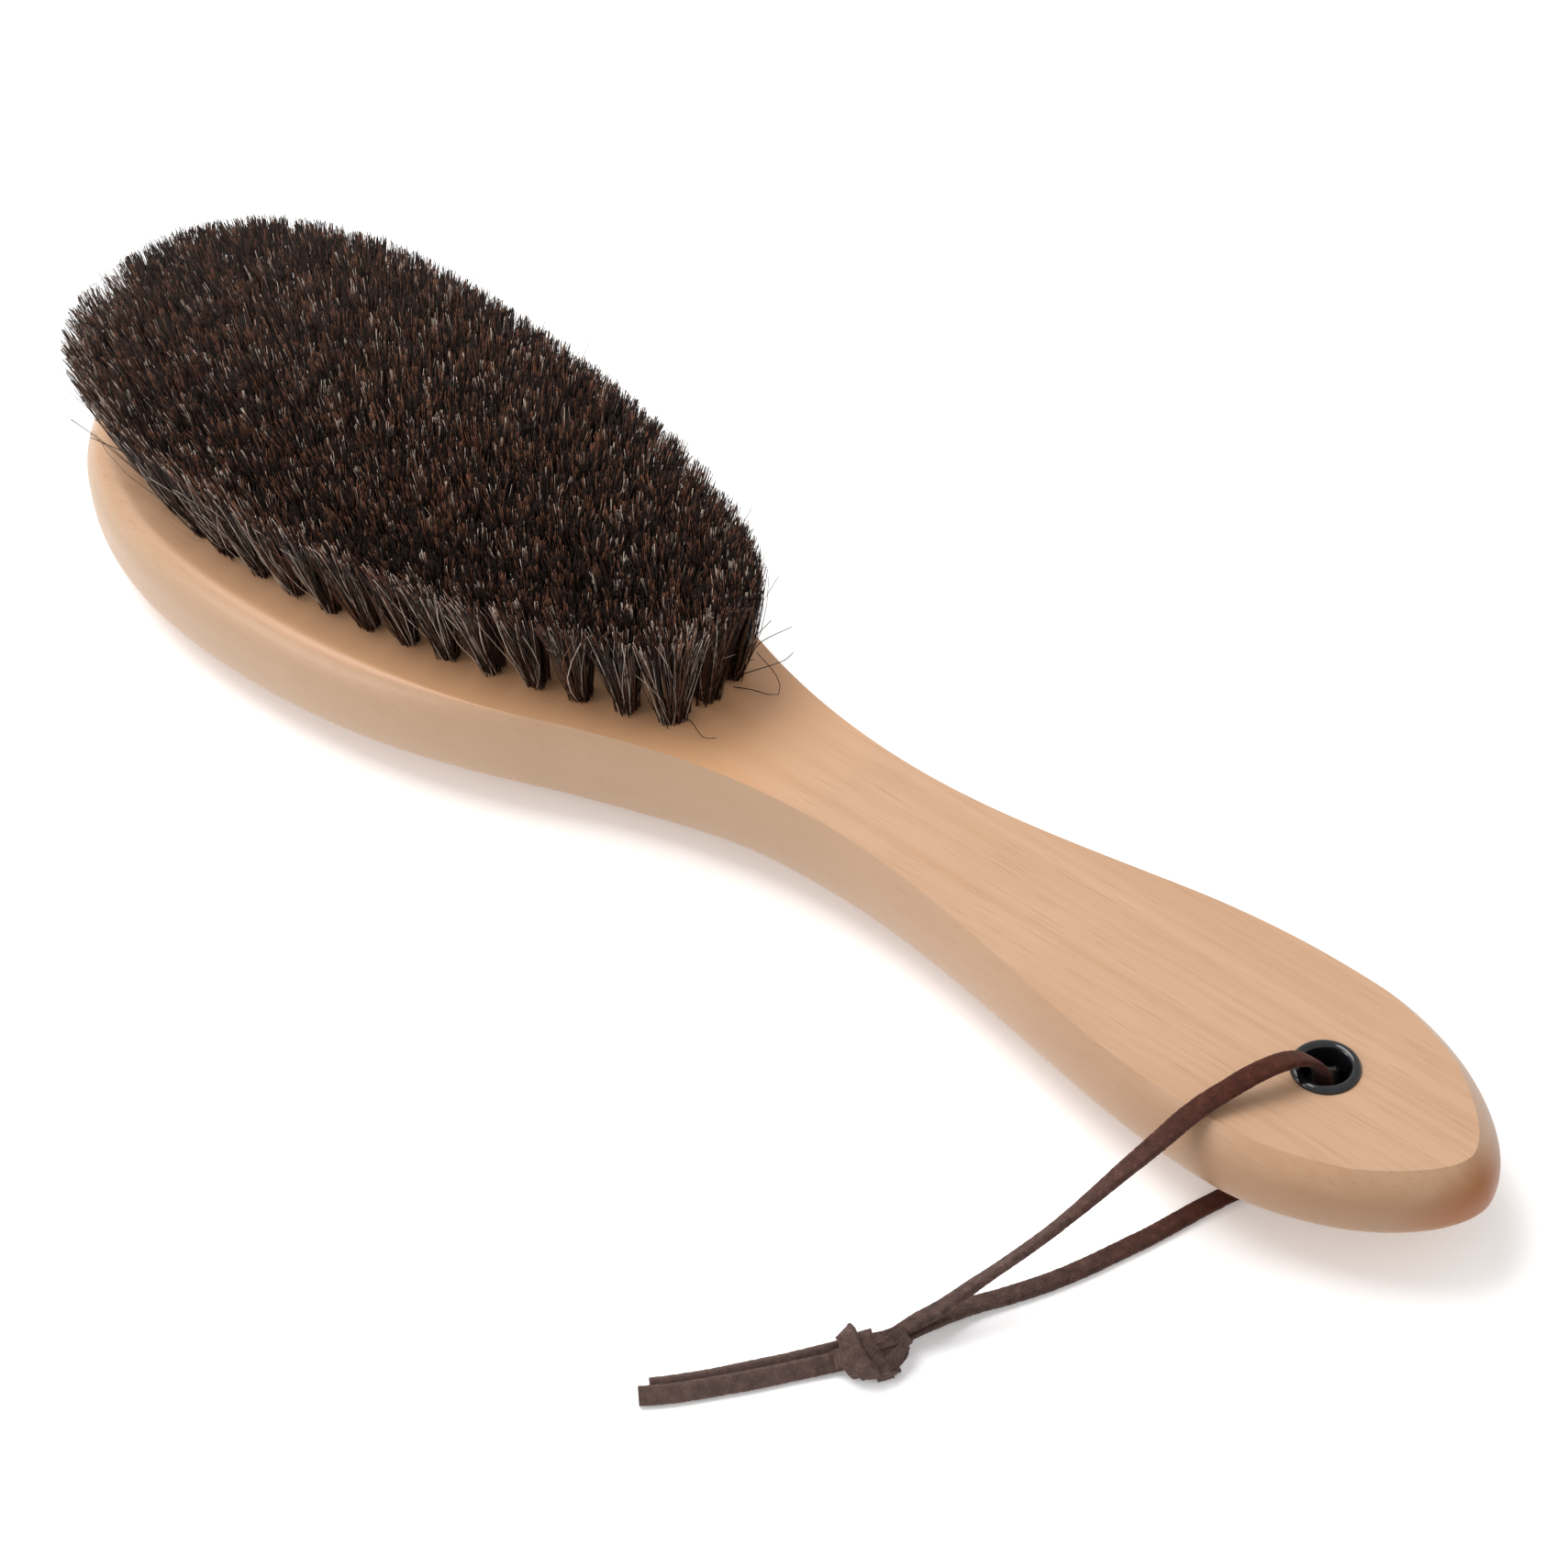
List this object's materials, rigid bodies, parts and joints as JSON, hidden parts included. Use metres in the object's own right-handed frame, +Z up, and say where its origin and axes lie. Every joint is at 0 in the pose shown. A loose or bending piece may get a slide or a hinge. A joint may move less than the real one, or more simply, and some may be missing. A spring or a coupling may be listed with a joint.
{
  "type": "clothes brush",
  "caption": "Hand clothes brush with an oval head of dark horsehair tufts, a shaped pale wooden body, a black eyelet and a knotted suede hanging lace.",
  "frame": {"origin": "on the flat of the wooden back, under the widest part of the head", "axes": "+X from the head to the tip of the handle, +Z up out of the bristle face, Y across the brush"},
  "size_m": [0.2693, 0.125, 0.0395],
  "materials": {
    "maple": "satin",
    "horsehair": "glossy fibre",
    "anchor_wire": "drawn wire",
    "black_enamel": "gloss",
    "suede": "matt suede"
  },
  "bodies": {
    "root": {"wood_body": "maple", "tuft_row_01": "horsehair", "tuft_row_02": "horsehair", "tuft_row_03": "horsehair", "tuft_row_04": "horsehair", "tuft_row_05": "horsehair", "tuft_row_06": "horsehair", "tuft_row_07": "horsehair", "tuft_row_08": "horsehair", "tuft_row_09": "horsehair", "tuft_row_10": "horsehair", "tuft_row_11": "horsehair", "tuft_row_12": "horsehair", "tuft_row_13": "horsehair", "tuft_row_14": "horsehair", "tuft_row_15": "horsehair", "tuft_row_16": "horsehair", "tuft_row_17": "horsehair", "tuft_anchors": "anchor_wire", "eyelet_front": "black_enamel", "eyelet_back": "black_enamel", "lace_front_leg": "suede", "lace_back_leg": "suede", "lace_knot": "suede", "lace_tail_lower": "suede", "lace_tail_upper": "suede"}
  },
  "joints": []
}
